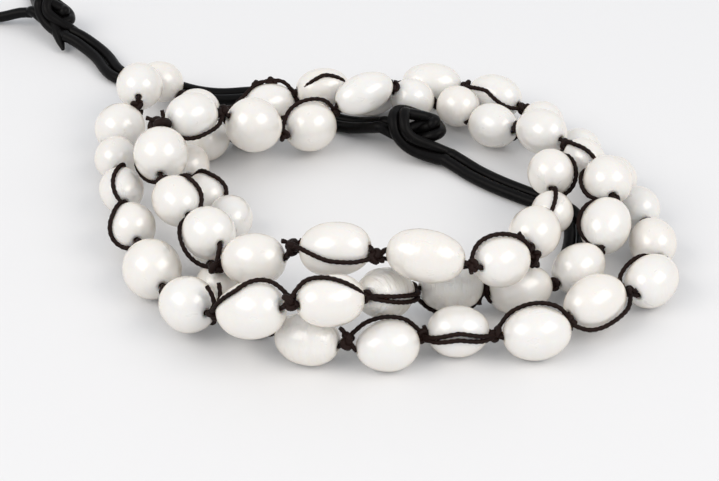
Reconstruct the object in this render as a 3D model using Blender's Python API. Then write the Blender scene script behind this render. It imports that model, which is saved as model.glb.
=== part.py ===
"""A three-turn bracelet of knotted freshwater pearls, closed by a doubled leather cord with two knots.

Metres, +Z up. The bracelet lies on z = 0, with its long front row of pearls towards -Y.
The origin is on that surface, under the middle of the pearls.
"""
import math

import bmesh
import bpy
import numpy as np
from mathutils import Vector

# Pearls and the thread that they are knotted on
PEARL_LENGTH = 0.0080  # along the hole
PEARL_WIDTH = 0.0068
PEARL_SIDES = 10
THREAD_DIAMETER = 0.0007  # two plies of waxed linen
KNOT_DIAMETER = 0.0016
GAP_LEAST = 0.0008  # from pearl to pearl, over the knot
GAP_MOST = 0.0024
LONG_GAPS = {23: 0.0048, 24: 0.0040}  # stretches of bare thread that are longer, by the pearl before them
CLEARANCE = 0.00045  # between pearls that only lie beside each other
MESH_GAP = 0.0003

# Leather
LEATHER_DIAMETER = 0.0017
LEATHER_SPACING = 0.0019  # from the middle of one strand to the middle of the other
LEATHER_STEP = 0.0035  # from point to point along a strand's tube
KNOT_SIDES = 12

# How the string settles: rounds, how strongly each pearl is drawn to its place at first and at last, and
# the least height of a hole's mouth as a share of the pearl's width
SETTLE_ROUNDS = 320
FIRST_ROUNDS = 0.6  # share of the rounds with the first draw
FIRST_DRAW = 0.12
LAST_DRAW = 0.02
MOUTH_HEIGHT = 0.42
CORE_SHARE = 0.9  # of a pearl's straight middle that counts when pearls are kept apart

# The string's route: number of the pearl, counted from 0, and the place of its middle
ROUTE = [
    (0, -0.0165, 0.0256, 0.0034),
    (1, -0.0223, 0.0219, 0.0033),
    (2, -0.0251, 0.0152, 0.0032),
    (3, -0.0222, 0.0073, 0.0032),
    (4, -0.0185, 0.0011, 0.0033),
    (5, -0.0203, -0.0065, 0.0032),
    (7, -0.0149, -0.0216, 0.0032),
    (8, -0.0070, -0.0276, 0.0035),
    (9, 0.0035, -0.0287, 0.0034),
    (10, 0.0128, -0.0256, 0.0037),
    (11, 0.0232, -0.0264, 0.0036),
    (12, 0.0312, -0.0202, 0.0044),
    (13, 0.0396, -0.0144, 0.0035),
    (14, 0.0406, -0.0050, 0.0035),
    (16, 0.0369, 0.0114, 0.0031),
    (17, 0.0323, 0.0191, 0.0031),
    (19, 0.0203, 0.0337, 0.0033),
    (20, 0.0108, 0.0370, 0.0033),
    (21, 0.0020, 0.0342, 0.0032),
    (22, -0.0058, 0.0330, 0.0052),
    (23, -0.0134, 0.0304, 0.0032),
    (24, -0.0256, 0.0288, 0.0034),
    (25, -0.0315, 0.0377, 0.0033),
    (26, -0.0326, 0.0304, 0.0060),
    (27, -0.0354, 0.0247, 0.0043),
    (29, -0.0343, 0.0064, 0.0044),
    (31, -0.0286, -0.0125, 0.0041),
    (32, -0.0232, -0.0218, 0.0047),
    (33, -0.0143, -0.0277, 0.0082),
    (34, -0.0040, -0.0288, 0.0100),
    (35, 0.0034, -0.0217, 0.0067),
    (36, 0.0122, -0.0169, 0.0045),
    (37, 0.0216, -0.0159, 0.0036),
    (38, 0.0297, -0.0125, 0.0043),
    (39, 0.0338, -0.0054, 0.0064),
    (40, 0.0346, 0.0022, 0.0089),
    (41, 0.0320, 0.0103, 0.0073),
    (42, 0.0264, 0.0181, 0.0069),
    (43, 0.0196, 0.0245, 0.0040),
    (44, 0.0145, 0.0298, 0.0040),
    (45, 0.0078, 0.0302, 0.0044),
    (46, 0.0005, 0.0276, 0.0077),
    (47, -0.0075, 0.0234, 0.0043),
    (48, -0.0157, 0.0190, 0.0073),
    (49, -0.0245, 0.0162, 0.0110),
    (50, -0.0287, 0.0078, 0.0097),
    (51, -0.0258, -0.0019, 0.0081),
    (52, -0.0202, -0.0122, 0.0083),
    (53, -0.0144, -0.0177, 0.0092),
    (54, -0.0034, -0.0193, 0.0123),
    (55, 0.0084, -0.0224, 0.0132),
    (56, 0.0187, -0.0200, 0.0107),
    (57, 0.0236, -0.0107, 0.0086),
    (58, 0.0265, -0.0034, 0.0072),
    (59, 0.0268, 0.0048, 0.0085),
]

# Each pearl's length and width, as shares of PEARL_LENGTH and PEARL_WIDTH, in the order of the string
PEARLS = [
    (0.83, 0.91), (0.83, 0.91), (0.80, 0.88), (0.83, 0.91), (0.85, 0.94), (0.80, 0.91),
    (0.80, 0.91), (0.83, 0.91), (1.10, 1.03), (1.06, 1.00), (1.03, 1.01), (1.15, 1.06),
    (1.18, 1.01), (1.05, 1.03), (0.93, 0.97), (0.83, 0.91), (0.83, 0.91), (0.83, 0.91),
    (0.83, 0.91), (1.05, 0.97), (1.13, 0.96), (0.93, 0.94), (1.00, 0.89), (0.98, 0.94),
    (0.85, 0.91), (0.85, 0.91), (0.95, 1.03), (0.95, 1.09), (0.83, 0.94), (0.88, 0.94),
    (0.88, 0.97), (1.08, 1.20), (1.03, 1.12), (1.21, 1.12), (1.11, 1.01), (1.08, 1.03),
    (1.10, 1.06), (1.10, 1.00), (1.00, 0.97), (1.03, 1.03), (0.91, 1.01), (0.80, 0.85),
    (1.03, 0.97), (0.99, 0.97), (0.80, 0.91), (0.85, 0.91), (1.15, 0.87), (0.98, 1.09),
    (1.05, 1.18), (0.98, 1.00), (0.98, 1.15), (1.03, 0.99), (0.95, 1.06), (1.11, 1.06),
    (1.20, 1.06), (1.30, 1.04), (1.11, 1.01), (1.05, 1.04), (0.80, 0.88), (0.85, 0.97),
]
SECOND_STRAND_FROM = 30  # the first pearl of the second node

# A pearl's profile: share of its length from one end, share of its full radius
PROFILE = [(0.05, 0.46), (0.17, 0.78), (0.36, 1.0), (0.64, 1.0), (0.83, 0.78), (0.95, 0.46)]

# The thread's two ends, from the tie on the leather to the first pearl, and from the last one to its tie
START_TIE = [(-0.0099, 0.0312, 0.0013), (-0.0112, 0.0298, 0.0022)]
END_TIE = [(0.0276, 0.0101, 0.0072), (0.0285, 0.0096, 0.0046), (0.0289, 0.0088, 0.0027)]

# The middle line between the two strands of leather, chosen by hand
LOOP_ROUTE = [
    (0.0128, 0.0198, 0.0014), (0.0149, 0.0180, 0.0010), (0.0163, 0.0165, 0.0009), (0.0177, 0.0151, 0.0009),
    (0.0205, 0.0127, 0.0009), (0.0224, 0.0113, 0.0009), (0.0244, 0.0099, 0.0009), (0.0264, 0.0087, 0.0009),
    (0.0282, 0.0074, 0.0009), (0.0296, 0.0058, 0.0009), (0.0304, 0.0040, 0.0009), (0.0306, 0.0020, 0.0009),
    (0.0305, 0.0000, 0.0009), (0.0303, -0.0016, 0.0009), (0.0300, -0.0032, 0.0009), (0.0296, -0.0048, 0.0009),
]
BACK_ROUTE = [
    (0.0032, 0.0256, 0.0034), (0.0010, 0.0270, 0.0024), (-0.0015, 0.0287, 0.0014), (-0.0048, 0.0308, 0.0010),
    (-0.0080, 0.0338, 0.0009), (-0.0110, 0.0364, 0.0009), (-0.0142, 0.0379, 0.0009), (-0.0177, 0.0380, 0.0009),
    (-0.0208, 0.0376, 0.0009), (-0.0239, 0.0379, 0.0009), (-0.0270, 0.0390, 0.0009), (-0.0300, 0.0407, 0.0009),
    (-0.0330, 0.0421, 0.0009), (-0.0358, 0.0430, 0.0009), (-0.0380, 0.0442, 0.0009), (-0.0394, 0.0460, 0.0010),
    (-0.0405, 0.0482, 0.0012), (-0.0420, 0.0503, 0.0015), (-0.0436, 0.0520, 0.0018), (-0.0452, 0.0533, 0.0022),
    (-0.0467, 0.0543, 0.0024),
]
TAIL_ROUTES = [
    [(-0.0534, 0.0610, 0.0025), (-0.0551, 0.0614, 0.0023), (-0.0570, 0.0615, 0.0018), (-0.0590, 0.0618, 0.0012),
     (-0.0615, 0.0624, 0.0009), (-0.0648, 0.0637, 0.0009), (-0.0685, 0.0655, 0.0009), (-0.0722, 0.0676, 0.0009),
     (-0.0755, 0.0700, 0.0009), (-0.0785, 0.0729, 0.0009), (-0.0808, 0.0762, 0.0009)],
    [(-0.0524, 0.0623, 0.0026), (-0.0530, 0.0648, 0.0017), (-0.0537, 0.0680, 0.0010), (-0.0547, 0.0716, 0.0009),
     (-0.0558, 0.0752, 0.0009), (-0.0572, 0.0786, 0.0009), (-0.0590, 0.0820, 0.0009), (-0.0614, 0.0856, 0.0009),
     (-0.0652, 0.0897, 0.0009)],
]

# The lumps that make up each leather knot: both ends of a rounded rod, and its radius
CLOSURE_KNOT = [
    ((0.0060, 0.0216, 0.0042), (0.0060, 0.0254, 0.0048), 0.0021),
    ((0.0098, 0.0228, 0.0034), (0.0110, 0.0244, 0.0036), 0.0025),
    ((0.0066, 0.0216, 0.0030), (0.0108, 0.0207, 0.0023), 0.0019),
]
END_KNOT = [
    ((-0.0508, 0.0600, 0.0027), (-0.0483, 0.0564, 0.0027), 0.0023),
    ((-0.0504, 0.0564, 0.0030), (-0.0488, 0.0598, 0.0031), 0.0020),
]


def smooth_curve(knots, places, steps):
    """Places on a natural cubic spline through the given ones."""
    knots, places, steps = (np.asarray(v, float) for v in (knots, places, steps))
    count = len(knots)
    width = np.diff(knots)
    system = np.zeros((count, count))
    right = np.zeros((count, 3))
    system[0, 0] = system[-1, -1] = 1.0
    slope = np.diff(places, axis=0) / width[:, None]
    for i in range(1, count - 1):
        system[i, i - 1 : i + 2] = width[i - 1], 2 * (width[i - 1] + width[i]), width[i]
        right[i] = 6 * (slope[i] - slope[i - 1])
    bend = np.linalg.solve(system, right)
    at = np.clip(np.searchsorted(knots, steps, side="right") - 1, 0, count - 2)
    h = width[at][:, None]
    a = (knots[at + 1] - steps)[:, None] / h
    b = 1 - a
    curved = ((a**3 - a) * bend[at] + (b**3 - b) * bend[at + 1]) * h**2 / 6
    return a * places[at] + b * places[at + 1] + curved


def leather_line(route, side):
    """Points along one strand of a pair: side is -1 or 1, or 0 for the line itself."""
    route = np.array(route)
    along = np.concatenate([[0], np.cumsum(np.linalg.norm(np.diff(route, axis=0), axis=1))])
    count = max(12, round(along[-1] / LEATHER_STEP))
    line = smooth_curve(along, route, np.linspace(0, along[-1], count + 1))
    ahead = np.gradient(line, axis=0)
    across = np.cross(ahead, (0, 0, 1))
    across /= np.linalg.norm(across, axis=1)[:, None]
    line = line + across * side * LEATHER_SPACING / 2
    line[:, 2] = np.maximum(line[:, 2], LEATHER_DIAMETER / 2)
    return line


def nearest_on_cores(mid, axis, core, i, j):
    """The closest places of two pearls' straight cores."""
    first, second = axis[i] * core[i] * 2, axis[j] * core[j] * 2
    between = (mid[i] - first / 2) - (mid[j] - second / 2)
    a, e, b = first @ first, second @ second, first @ second
    c, f = first @ between, second @ between
    spread = a * e - b * b
    s = np.clip((b * f - c * e) / spread, 0, 1) if spread > 1e-18 else 0.5
    t = (b * s + f) / max(e, 1e-12)
    if not 0 <= t <= 1:
        t = min(max(t, 0.0), 1.0)
        s = np.clip((b * t - c) / max(a, 1e-12), 0, 1)
    return mid[i] - first / 2 + first * s, mid[j] - second / 2 + second * t


def settled_pearls():
    """Each pearl's two hole ends, after the string has settled: strung in reach, apart and on the floor."""
    length = np.array([share[0] for share in PEARLS]) * PEARL_LENGTH
    width = np.array([share[1] for share in PEARLS]) * PEARL_WIDTH
    numbers = [row[0] for row in ROUTE]
    home = smooth_curve(numbers, [row[1:] for row in ROUTE], np.arange(len(PEARLS)))
    ahead = np.gradient(home, axis=0)
    ahead /= np.linalg.norm(ahead, axis=1)[:, None]
    ends = np.stack([home - ahead * length[:, None] / 2, home + ahead * length[:, None] / 2], axis=1)
    core = np.maximum(length - width, 0.0001) / 2 * CORE_SHARE
    leather = np.concatenate([leather_line(r, s) for r in (LOOP_ROUTE, BACK_ROUTE) for s in (-1, 1)])
    leather = np.concatenate([leather, (leather[1:] + leather[:-1]) / 2])
    lumps = [(place, radius) for near, far, radius in CLOSURE_KNOT for place in (near, far)]
    solid = np.concatenate([leather, [place for place, _ in lumps]])
    reach = np.concatenate([np.full(len(leather), LEATHER_DIAMETER / 2), [radius for _, radius in lumps]])
    for turn in range(SETTLE_ROUNDS):
        pull = FIRST_DRAW if turn < SETTLE_ROUNDS * FIRST_ROUNDS else LAST_DRAW
        ends += ((home - ends.mean(axis=1)) * pull)[:, None]
        for i in range(len(PEARLS) - 1):
            step = ends[i + 1, 0] - ends[i, 1]
            gap = np.linalg.norm(step)
            most = LONG_GAPS.get(i, GAP_MOST)
            move = step / gap * (gap - min(max(gap, GAP_LEAST), most)) / 2
            ends[i, 1] += move
            ends[i + 1, 0] -= move
        step = ends[:, 1] - ends[:, 0]
        now = np.linalg.norm(step, axis=1)
        move = step / now[:, None] * (now - length)[:, None] / 2
        ends[:, 0] += move
        ends[:, 1] -= move
        axis = (ends[:, 1] - ends[:, 0]) / length[:, None]
        mid = ends.mean(axis=1)
        apart = np.linalg.norm(mid[:, None] - mid[None], axis=2)
        near = np.argwhere(np.triu(apart < (length[:, None] + length[None]) / 2 + CLEARANCE, 1))
        for i, j in near:
            here, there = nearest_on_cores(mid, axis, core, i, j)
            step = there - here
            now = np.linalg.norm(step)
            short = (width[i] + width[j]) / 2 + CLEARANCE - now
            if short > 0:
                move = step / now * short / 2
                ends[i] -= move
                ends[j] += move
                mid[i] -= move
                mid[j] += move
        for i in range(len(PEARLS)):
            along = np.clip((solid - mid[i]) @ axis[i], -core[i], core[i])
            step = mid[i] + along[:, None] * axis[i] - solid
            now = np.linalg.norm(step, axis=1)
            short = width[i] / 2 + reach + CLEARANCE - now
            worst = int(short.argmax())
            if short[worst] > 0:
                ends[i] += step[worst] / now[worst] * short[worst]
        lift = width / 2 - ends.mean(axis=1)[:, 2]
        ends[:, :, 2] += np.maximum(lift, 0)[:, None]
        ends[:, :, 2] = np.maximum(ends[:, :, 2], (width * MOUTH_HEIGHT)[:, None])
    on_floor = ends.mean(axis=1)[:, 2] < width / 2 + MESH_GAP
    ends[on_floor, :, 2] = (width[on_floor] / 2)[:, None]
    low = np.min(ends.mean(axis=1) - width[:, None] / 2, axis=0)
    high = np.max(ends.mean(axis=1) + width[:, None] / 2, axis=0)
    middle = np.array([(low[0] + high[0]) / 2, (low[1] + high[1]) / 2, 0])
    return ends - middle, width, middle


def principled(name, colour, roughness, metallic=0.0):
    material = bpy.data.materials.new(name)
    material.use_nodes = True
    shader = material.node_tree.nodes["Principled BSDF"]
    shader.inputs["Base Color"].default_value = (*colour, 1)
    shader.inputs["Roughness"].default_value = roughness
    shader.inputs["Metallic"].default_value = metallic
    return material


def add_object(name, mesh, material):
    mesh.materials.append(material)
    mesh.shade_smooth()
    mesh.set_sharp_from_angle(angle=math.radians(40))
    item = bpy.data.objects.new(name, mesh)
    bpy.context.collection.objects.link(item)
    return item


def loft(name, rings, material):
    """One closed solid through rings of points, with a flat end on the first and the last."""
    shape = bmesh.new()
    loops = [[shape.verts.new(point) for point in ring] for ring in rings]
    for near, far in zip(loops, loops[1:]):
        for k in range(len(near)):
            after = (k + 1) % len(near)
            shape.faces.new((near[k], near[after], far[after], far[k]))
    shape.faces.new(reversed(loops[0]))
    shape.faces.new(loops[-1])
    bmesh.ops.recalc_face_normals(shape, faces=shape.faces)
    mesh = bpy.data.meshes.new(name)
    shape.to_mesh(mesh)
    shape.free()
    return add_object(name, mesh, material)


def ring(middle, axis, radius, above=(0, 0, 1)):
    """A ring of points round the thread, with a flat side down; radius is to the flats."""
    axis = Vector(axis).normalized()
    side = axis.cross(Vector(above)).normalized()
    up = side.cross(axis)
    corner = radius / math.cos(math.pi / PEARL_SIDES)
    turns = [(k + 0.5) * 2 * math.pi / PEARL_SIDES for k in range(PEARL_SIDES)]
    return [Vector(middle) + (up * math.cos(a) + side * math.sin(a)) * corner for a in turns]


def pearl_rings(start, end, width):
    """The thread's ring at each end of a pearl, and the pearl's own between them."""
    axis = end - start
    rings = [ring(start, axis, THREAD_DIAMETER / 2)]
    rings += [ring(start + axis * share, axis, width / 2 * full) for share, full in PROFILE]
    return rings + [ring(end, axis, THREAD_DIAMETER / 2)]


def knot_ring(before, after, direction):
    return ring((before + after) / 2, direction, KNOT_DIAMETER / 2)


def tie_rings(places, above):
    """A stretch of bare thread that ends in a small knot."""
    rings = []
    for i, place in enumerate(places):
        ahead = places[min(i + 1, len(places) - 1)] - places[max(i - 1, 0)]
        rings.append(ring(place, ahead, THREAD_DIAMETER / 2, above))
    ahead = (places[-1] - places[-2]).normalized()
    last = places[-1]
    rings.append(ring(last + ahead * KNOT_DIAMETER * 0.3, ahead, KNOT_DIAMETER / 2, above))
    rings.append(ring(last + ahead * KNOT_DIAMETER * 0.7, ahead, THREAD_DIAMETER / 2, above))
    return rings


def pearl_strands(ends, width, middle, material):
    """The string of pearls, as two nodes that meet at a knot."""
    halves = [range(SECOND_STRAND_FROM), range(SECOND_STRAND_FROM, len(PEARLS))]
    joint = (ends[SECOND_STRAND_FROM - 1, 1] + ends[SECOND_STRAND_FROM, 0]) / 2
    toward = ends[SECOND_STRAND_FROM, 0] - ends[SECOND_STRAND_FROM - 1, 1]
    toward /= np.linalg.norm(toward)
    for number, half in enumerate(halves):
        rings = []
        for i in half:
            if i != half[0]:
                direction = (ends[i, 1] - ends[i, 0]) + (ends[i - 1, 1] - ends[i - 1, 0])
                rings.append(knot_ring(ends[i - 1, 1], ends[i, 0], direction))
            rings += pearl_rings(ends[i, 0], ends[i, 1], width[i])
        if number == 0:
            tie = [ends[0, 0]] + [Vector(np.array(p) - middle) for p in reversed(START_TIE)]
            rings = tie_rings([Vector(p) for p in tie], (0, 0, 1))[:0:-1] + rings
            rings.append(ring(joint - toward * MESH_GAP * 1.2, toward, KNOT_DIAMETER / 2))
            rings.append(ring(joint - toward * MESH_GAP * 0.5, toward, THREAD_DIAMETER / 2))
        else:
            rings.insert(0, ring(joint + toward * MESH_GAP * 0.5, toward, THREAD_DIAMETER / 2))
            tie = [ends[-1, 1]] + [Vector(np.array(p) - middle) for p in END_TIE]
            rings += tie_rings([Vector(p) for p in tie], (1, 0, 0.2))[1:]
        loft(f"pearl_strand_{number + 1}", rings, material)


def leather_strand(name, route, side, middle, material):
    """One strand of leather, as a tube along its route."""
    curve = bpy.data.curves.new(name, "CURVE")
    curve.dimensions = "3D"
    curve.bevel_depth = LEATHER_DIAMETER / 2
    curve.bevel_resolution = 2
    curve.use_fill_caps = True
    line = leather_line(route, side) - middle
    spline = curve.splines.new("POLY")
    spline.points.add(len(line) - 1)
    for point, place in zip(spline.points, line):
        point.co = (*place, 1)
    curve.materials.append(material)
    item = bpy.data.objects.new(name, curve)
    bpy.context.collection.objects.link(item)
    return item


def rounded_rod(name, start, end, radius, material):
    """A round ball whose upper half is drawn out to the rod's far end."""
    shape = bmesh.new()
    ball = bmesh.ops.create_uvsphere(shape, u_segments=KNOT_SIDES, v_segments=KNOT_SIDES // 2, radius=radius)
    turn = Vector((0, 0, 1)).rotation_difference(end - start).to_matrix()
    for vert in ball["verts"]:
        upper = vert.co.z > radius * 0.1
        vert.co = turn @ vert.co + (end if upper else start)
    mesh = bpy.data.meshes.new(name)
    shape.to_mesh(mesh)
    shape.free()
    return add_object(name, mesh, material)


def leather_knot(name, lumps, middle, material):
    """A pulled-tight knot in the doubled leather: rounded rods joined into one solid."""
    rods = []
    for number, (start, end, radius) in enumerate(lumps):
        rod_name = name if number == 0 else f"{name}_lump_{number}"
        rods.append(rounded_rod(rod_name, Vector(start) - Vector(middle), Vector(end) - Vector(middle), radius, material))
    for rod in rods[1:]:
        rod.hide_render = True
        rod.display_type = "WIRE"
        join = rods[0].modifiers.new("join", "BOOLEAN")
        join.operation = "UNION"
        join.object = rod
    return rods[0]


for old in list(bpy.data.objects):
    bpy.data.objects.remove(old)

nacre = principled("nacre", (0.87, 0.84, 0.79), 0.22)
leather = principled("black_leather", (0.012, 0.011, 0.011), 0.35)

pearl_ends, pearl_width, footprint = settled_pearls()
pearl_strands(pearl_ends, pearl_width, footprint, nacre)
leather_knot("closure_knot", CLOSURE_KNOT, footprint, leather)
leather_knot("end_knot", END_KNOT, footprint, leather)
for number, side in ((1, -1), (2, 1)):
    leather_strand(f"leather_loop_{number}", LOOP_ROUTE, side, footprint, leather)
    leather_strand(f"leather_back_{number}", BACK_ROUTE, side, footprint, leather)
for number, tail in enumerate(TAIL_ROUTES):
    leather_strand(f"leather_tail_{number + 1}", tail, 0, footprint, leather)
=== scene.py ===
"""A three-turn bracelet of knotted freshwater pearls on a doubled leather cord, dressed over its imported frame.

Metres, +Z up. The bracelet lies on z = 0 with its long front row of pearls towards -Y.
"""

import math

import bpy
import numpy as np
from mathutils import Matrix, Quaternion, Vector
from mathutils.bvhtree import BVHTree


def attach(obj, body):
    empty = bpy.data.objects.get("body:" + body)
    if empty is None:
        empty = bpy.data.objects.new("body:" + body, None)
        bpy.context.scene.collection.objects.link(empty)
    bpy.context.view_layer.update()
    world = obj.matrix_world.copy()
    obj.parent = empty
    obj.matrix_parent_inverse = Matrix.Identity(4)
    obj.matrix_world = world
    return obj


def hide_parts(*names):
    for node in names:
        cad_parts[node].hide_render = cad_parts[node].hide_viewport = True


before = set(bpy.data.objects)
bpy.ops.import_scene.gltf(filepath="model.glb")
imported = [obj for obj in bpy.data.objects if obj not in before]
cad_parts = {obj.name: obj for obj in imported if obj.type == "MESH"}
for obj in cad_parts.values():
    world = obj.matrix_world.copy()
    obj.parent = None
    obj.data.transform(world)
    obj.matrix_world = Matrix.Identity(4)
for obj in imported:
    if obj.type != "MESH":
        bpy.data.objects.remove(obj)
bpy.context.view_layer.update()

# The camera
# It looks down on the bracelet from the front, from a third of a metre, with a long lens.
VIEW_AIM = Vector((-0.0024, -0.0041, 0.0))
VIEW_HEIGHT = math.radians(35)
VIEW_REACH = 0.335

lens = bpy.data.cameras.new("camera")
lens.lens = 118.3
lens.clip_start = 0.01
lens.clip_end = 20
camera = bpy.data.objects.new("camera", lens)
bpy.context.collection.objects.link(camera)
view_back = Vector((0, -math.cos(VIEW_HEIGHT), math.sin(VIEW_HEIGHT)))
view_up = Vector((0, math.sin(VIEW_HEIGHT), math.cos(VIEW_HEIGHT)))
camera.location = VIEW_AIM + view_back * VIEW_REACH
camera.rotation_euler = (math.pi / 2 - VIEW_HEIGHT, 0, 0)
bpy.context.scene.camera = camera
bpy.context.scene.view_settings.view_transform = "Standard"

# The leather cord
# Round black leather, 1.7 mm, laid doubled: two strands side by side run through the whole closure of the
# bracelet, with two overhand knots in them. The skin is smooth, half glossy and nearly black.
LEATHER_DIAMETER = 0.0017
LEATHER_SPACING = 0.0019  # from the middle of one strand to the middle of the other
PEARLS_MIDDLE = Vector((0.002191, 0.004234, 0))  # of the footprint; the routes are measured from the camera's aim


def wire(tree, node_type, settings=None, **inputs):
    """A new node, its settings, and its inputs by name: a value, or another node's output."""
    node = tree.nodes.new(node_type)
    for name, value in (settings or {}).items():
        setattr(node, name, value)
    for name, value in inputs.items():
        socket = node.inputs[int(name[1:]) if name[1:].isdigit() else name.replace("_", " ")]
        if isinstance(value, bpy.types.NodeSocket):
            tree.links.new(value, socket)
        else:
            socket.default_value = value
    return node


def new_material(name):
    material = bpy.data.materials.new(name)
    material.use_nodes = True
    return material, material.node_tree, material.node_tree.nodes["Principled BSDF"]


def fine_grain():
    """A shader group: small raised grain over a surface, as a height and as a mask."""
    group = bpy.data.node_groups.new("fine grain", "ShaderNodeTree")
    for name, kind, value in (("Vector", "NodeSocketVector", None), ("Grain Size", "NodeSocketFloat", 0.0003),
                              ("Wear Size", "NodeSocketFloat", 0.004)):
        socket = group.interface.new_socket(name, in_out="INPUT", socket_type=kind)
        if value:
            socket.default_value = value
    group.interface.new_socket("Height", in_out="OUTPUT", socket_type="NodeSocketFloat")
    group.interface.new_socket("Wear", in_out="OUTPUT", socket_type="NodeSocketFloat")
    given = group.nodes.new("NodeGroupInput")
    made = group.nodes.new("NodeGroupOutput")
    grain_scale = wire(group, "ShaderNodeMath", {"operation": "DIVIDE"}, _0=1.0, _1=given.outputs["Grain Size"])
    wear_scale = wire(group, "ShaderNodeMath", {"operation": "DIVIDE"}, _0=1.0, _1=given.outputs["Wear Size"])
    cells = wire(group, "ShaderNodeTexVoronoi", {"feature": "SMOOTH_F1"}, Vector=given.outputs["Vector"],
                 Scale=grain_scale.outputs[0], Smoothness=0.6)
    cloud = wire(group, "ShaderNodeTexNoise", None, Vector=given.outputs["Vector"], Scale=wear_scale.outputs[0],
                 Detail=4.0, Roughness=0.6)
    group.links.new(cells.outputs["Distance"], made.inputs["Height"])
    group.links.new(cloud.outputs["Fac"], made.inputs["Wear"])
    return group


grain = fine_grain()
leather, tree, shader = new_material("black leather")
here = wire(tree, "ShaderNodeTexCoord")
skin = wire(tree, "ShaderNodeGroup", {"node_tree": grain}, Vector=here.outputs["Object"], Grain_Size=0.00035,
            Wear_Size=0.0045)
tone = wire(tree, "ShaderNodeMix", {"data_type": "RGBA"}, _0=skin.outputs["Wear"], _6=(0.0012, 0.0011, 0.0012, 1),
            _7=(0.0042, 0.0036, 0.0036, 1))
rough = wire(tree, "ShaderNodeMapRange", None, Value=skin.outputs["Wear"], To_Min=0.30, To_Max=0.44)
bump = wire(tree, "ShaderNodeBump", None, Height=skin.outputs["Height"], Strength=0.25, Distance=0.00006)
tree.links.new(tone.outputs[2], shader.inputs["Base Color"])
tree.links.new(rough.outputs[0], shader.inputs["Roughness"])
tree.links.new(bump.outputs[0], shader.inputs["Normal"])
shader.inputs["Specular IOR Level"].default_value = 0.10


def leather_strand(name, *lines):
    """Round strands of leather along their lines; a place may carry a share of the full thickness."""
    curve = bpy.data.curves.new(name, "CURVE")
    curve.dimensions = "3D"
    curve.bevel_depth = LEATHER_DIAMETER / 2
    curve.bevel_resolution = 6
    curve.use_fill_caps = True
    for line in lines:
        spline = curve.splines.new("POLY")
        spline.points.add(len(line) - 1)
        for point, place in zip(spline.points, line):
            point.co = (*(Vector(place[:3]) - PEARLS_MIDDLE), 1)
            point.radius = place[3] if len(place) > 3 else 1.0
    curve.materials.append(leather)
    strand = bpy.data.objects.new(name, curve)
    bpy.context.collection.objects.link(strand)
    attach(strand, "root")
    return strand


# The two leather knots
# Overhand knots in the doubled cord: the large closure knot at the back, and the end knot, drawn up tighter, near
# the free ends. The two strands run side by side through each knot and are pressed together inside it.

# The way of the doubled cord through a knot, in millimetres, and the side that the pair turns outwards
KNOT_WAY = [
    # place, outward
    ((2.4, 26.1, 2.9), (0, 0, 1)), ((3.2, 25.6, 3.4), (0, 0, 1)), ((4.8, 25.0, 3.0), (0, -0.3, 1)),
    ((7.0, 24.2, 2.5), (0, -0.5, 1)), ((9.3, 23.2, 3.3), (0, -0.6, 0.8)), ((11.0, 23.1, 4.1), (0.5, -0.3, 0.8)),
    ((11.4, 24.4, 4.2), (0.9, 0.2, 0.5)), ((10.2, 25.6, 4.4), (0.3, 0.6, 0.8)), ((8.1, 25.6, 5.2), (0, 0.4, 1)),
    ((6.1, 25.0, 6.0), (-0.3, 0, 1)), ((5.6, 23.3, 5.9), (-0.3, -0.4, 0.9)), ((5.9, 21.8, 4.6), (-0.4, -0.8, 0.4)),
    ((7.4, 20.9, 3.1), (-0.3, -0.9, 0.3)), ((9.8, 20.3, 2.2), (0, -0.8, 0.6)), ((11.8, 20.0, 1.6), (0, -0.4, 0.9)),
    ((12.8, 19.8, 1.4), (0, 0, 1)), ((13.6, 19.1, 1.25), (0, 0, 1)),
]
END_KNOT_FIRST = Vector((-0.0529, 0.06165, 0.0026))  # where the tails leave it
END_KNOT_LAST = Vector((-0.0462, 0.0540, 0.0023))  # where the back strands go in
END_KNOT_SPUR = [(-0.0492, 0.0570, 0.0028, 1.3), (-0.0486, 0.0552, 0.0022, 1.15), (-0.0480, 0.0534, 0.0015, 0.8),
                 (-0.0475, 0.0520, 0.0009, 0.35)]
END_KNOT_SLIM = 0.72  # how much narrower than the closure knot it is drawn up
PRESSED = 0.16  # how much closer than LEATHER_SPACING the strands are pressed inside a knot
# The turn that is hidden in the middle of a knot and fills it, in millimetres
KNOT_CORE = [(6.6, 23.4, 3.4), (8.0, 24.2, 3.9), (9.6, 24.4, 4.0), (10.6, 24.1, 4.0)]


def smooth_curve(knots, places, steps):
    """Places on a natural cubic spline through the given ones."""
    knots, places, steps = (np.asarray(v, float) for v in (knots, places, steps))
    count = len(knots)
    width = np.diff(knots)
    system = np.zeros((count, count))
    right = np.zeros((count, places.shape[1]))
    system[0, 0] = system[-1, -1] = 1.0
    slope = np.diff(places, axis=0) / width[:, None]
    for i in range(1, count - 1):
        system[i, i - 1 : i + 2] = width[i - 1], 2 * (width[i - 1] + width[i]), width[i]
        right[i] = 6 * (slope[i] - slope[i - 1])
    bend = np.linalg.solve(system, right)
    at = np.clip(np.searchsorted(knots, steps, side="right") - 1, 0, count - 2)
    h = width[at][:, None]
    a = (knots[at + 1] - steps)[:, None] / h
    b = 1 - a
    curved = ((a**3 - a) * bend[at] + (b**3 - b) * bend[at + 1]) * h**2 / 6
    return a * places[at] + b * places[at + 1] + curved


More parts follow.
